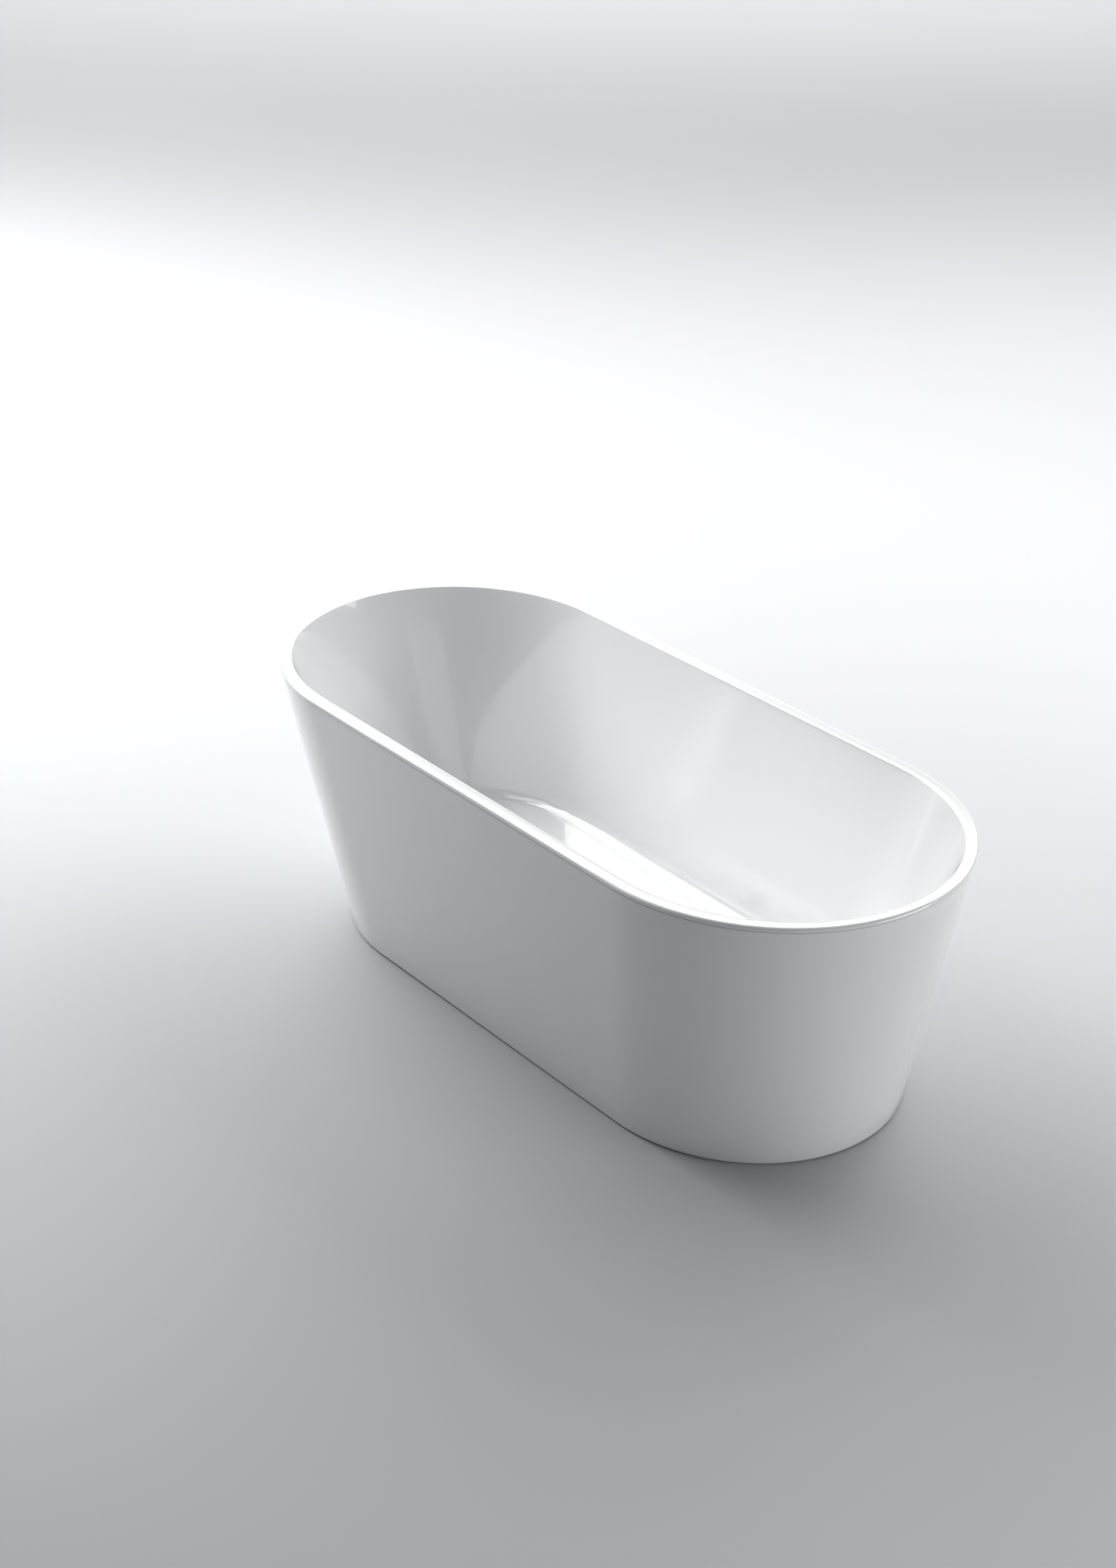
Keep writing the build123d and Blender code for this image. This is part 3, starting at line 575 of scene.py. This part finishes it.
def make_spring():
    """A compression spring with closed ends, at the length of its CAD node."""
    low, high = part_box("plug_spring")
    coil = high.x - SPRING_WIRE
    bottom, top = low.z + SPRING_WIRE, high.z - SPRING_WIRE
    end_rise = SPRING_END_TURNS * SPRING_END_PITCH
    open_turns = SPRING_TURNS - 2.0 * SPRING_END_TURNS
    open_pitch = (top - bottom - 2.0 * end_rise) / open_turns
    build = bmesh.new()
    rows = []
    for step in range(round(SPRING_TURNS * STEPS_PER_TURN) + 1):
        turn = step / STEPS_PER_TURN
        first = min(turn, SPRING_END_TURNS)
        middle = max(0.0, min(turn - SPRING_END_TURNS, open_turns))
        last = max(0.0, turn - SPRING_END_TURNS - open_turns)
        z = bottom + (first + last) * SPRING_END_PITCH + middle * open_pitch
        angle = math.tau * turn
        out = Vector((math.cos(angle), math.sin(angle), 0.0))
        row = []
        for side in range(WIRE_SIDES):
            about = math.tau * side / WIRE_SIDES
            reach = coil + SPRING_WIRE * math.cos(about)
            rise = z + SPRING_WIRE * math.sin(about)
            row.append(build.verts.new(out * reach + UP * rise))
        rows.append(row)
    join_rows(build, rows)
    build.faces.new(rows[0])
    build.faces.new(list(reversed(rows[-1])))
    bmesh.ops.recalc_face_normals(build, faces=build.faces)
    spring = mesh_object("plug_coil_spring", build)
    smooth(spring.data)
    spring.data.materials.append(MATERIALS[SLOT_OF["plug_spring"]])
    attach(spring, "tub")
    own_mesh(spring)
    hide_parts("plug_spring")


# ---- Stage and lights ----

# Places and sizes are in metres, turns and rises in degrees
FLOOR_REACH = 40.0
SKY_COLOUR = (0.95, 0.97, 1.0, 1.0)
SKY_STRENGTH = 0.12
SOFTBOX_TARGET = Vector((0.0, 0.0, 0.2))

# Softboxes about the tub: turn from straight behind it, clockwise as seen from above, rise, distance from the
# origin, size, watts
SOFTBOXES = (
    ("back_left", -42, 46, 3.7, (1.8, 1.6), 48.0),
    ("back_right", 45, 46, 3.7, (1.8, 1.6), 34.0),
    ("left_high", -75, 62, 3.8, (1.6, 1.6), 16.0),
    ("back_streak", -14, 38, 3.6, (0.16, 0.9), 2.5),
    ("right_low", 118, 12, 3.4, (1.7, 1.1), 25.0),
    ("front_right", 150, 28, 3.5, (1.7, 1.3), 4.0),
    ("front_low", 150, 12, 3.4, (1.7, 1.1), 3.0),
)
# Lights above the floor that face straight down: away, right, height, size across and along the view, watts
FLOOR_LIGHTS = (
    ("floor_far", 14.5, 0.0, 4.0, (16.0, 11.0), 1200.0),
    ("floor_mid", 4.0, 0.4, 3.4, (6.0, 1.8), 150.0),
    ("floor_left", 3.4, -4.4, 3.0, (4.0, 4.2), 370.0),
    ("floor_right", 4.0, 4.5, 3.0, (4.0, 4.0), 110.0),
    ("floor_near_right", 1.0, 2.8, 2.2, (1.6, 2.2), 30.0),
)


def make_floor():
    """A wide pale floor with a faint change of tone."""
    mesh = bpy.data.meshes.new("floor")
    reach = FLOOR_REACH
    corners = [(-reach, -reach, 0), (reach, -reach, 0), (reach, reach, 0), (-reach, reach, 0)]
    mesh.from_pydata(corners, [], [(0, 1, 2, 3)])
    floor = link("floor", mesh)
    paint = Finish("floor", 0.6)
    paint.shader.inputs["Specular IOR Level"].default_value = 0.2
    paint.colour(paint.noise(0.4), (0.470, 0.482, 0.490), (0.480, 0.492, 0.500))
    floor.data.materials.append(paint.material)


def area_light(name, place, turned, size, watts):
    """A rectangular light that shines against its own z axis."""
    lamp = bpy.data.lights.new(name, "AREA")
    lamp.shape = "RECTANGLE"
    lamp.size, lamp.size_y = size
    lamp.energy = watts
    link(name, lamp).matrix_world = Matrix.Translation(place) @ turned.to_4x4()


def make_lights():
    """A dim even sky, the softboxes, and the lights on the floor."""
    world = bpy.data.worlds.new("world")
    bpy.context.scene.world = world
    world.use_nodes = True
    sky = world.node_tree.nodes["Background"]
    sky.inputs["Color"].default_value = SKY_COLOUR
    sky.inputs["Strength"].default_value = SKY_STRENGTH
    for name, turn, rise, distance, size, watts in SOFTBOXES:
        turn, rise = math.radians(turn), math.radians(rise)
        level = AWAY * math.cos(turn) + RIGHT * math.sin(turn)
        place = (level * math.cos(rise) + UP * math.sin(rise)) * distance
        turned = (SOFTBOX_TARGET - place).to_track_quat("-Z", "Y").to_matrix()
        area_light(name, place, turned, size, watts)
    facing_down = Matrix((RIGHT, AWAY, UP)).transposed()
    for name, away, right, height, size, watts in FLOOR_LIGHTS:
        place = AWAY * away + RIGHT * right + UP * height
        area_light(name, place, facing_down, size, watts)
    bpy.context.scene.view_settings.view_transform = "Standard"


make_camera()
finish_nodes()
basin = make_basin()
cut_overflow(basin)
finish_shell(basin, "basin_shell")
finish_shell(make_apron(), "apron_shell")
make_spring()
make_floor()
make_lights()
